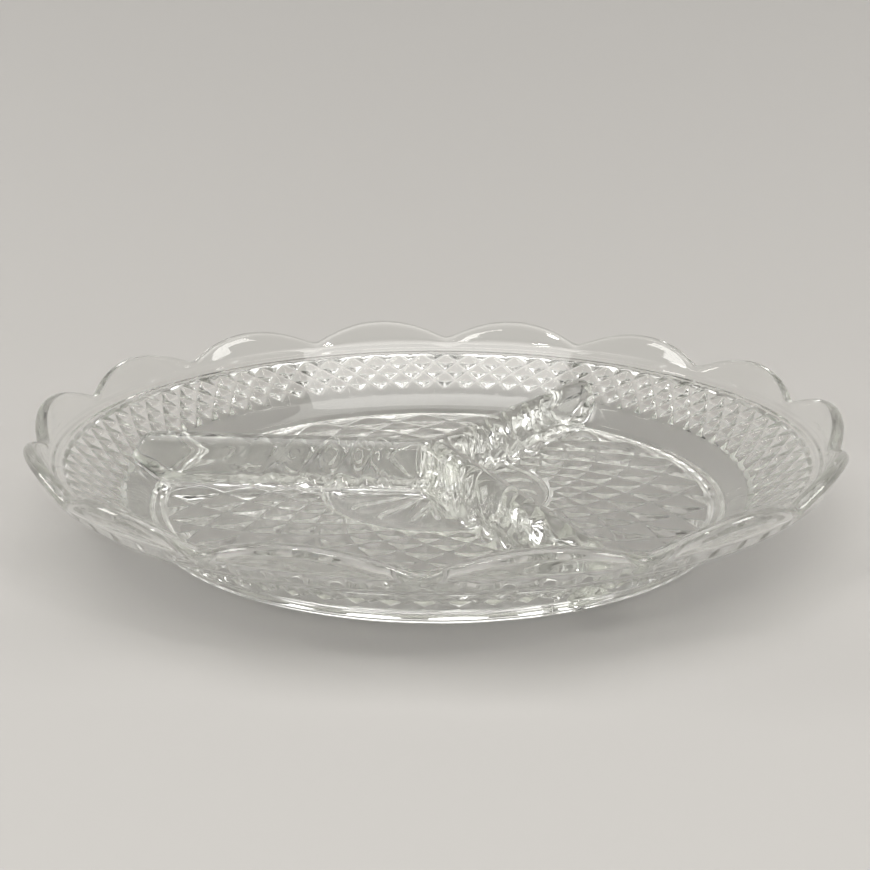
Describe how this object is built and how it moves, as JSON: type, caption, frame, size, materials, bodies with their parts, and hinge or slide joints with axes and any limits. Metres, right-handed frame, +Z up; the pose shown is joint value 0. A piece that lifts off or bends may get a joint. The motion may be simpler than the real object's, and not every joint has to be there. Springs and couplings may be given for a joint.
{
  "type": "divided serving dish",
  "caption": "Round shallow pressed-glass serving dish with a scalloped rim, a diamond band, a patterned floor and raised ribs that part it into compartments.",
  "frame": {"origin": "centre of the foot, on the surface that the dish stands on", "axes": "+Z up through the open side; -X along the left divider; the other dividers lie at 60 and 300 degrees from +X towards +Y"},
  "size_m": [0.2158, 0.2146, 0.0288],
  "materials": {
    "clear_pressed_glass": "clear, fire-polished and glossy, with a faint green-grey tint in the thick edges"
  },
  "bodies": {
    "root": {"foot_ring": "clear_pressed_glass", "floor_plate": "clear_pressed_glass", "centre_medallion": "clear_pressed_glass", "side_wall": "clear_pressed_glass", "scalloped_rim": "clear_pressed_glass", "rear_right_divider": "clear_pressed_glass", "left_divider": "clear_pressed_glass", "front_right_divider": "clear_pressed_glass", "divider_hub": "clear_pressed_glass"}
  },
  "joints": []
}
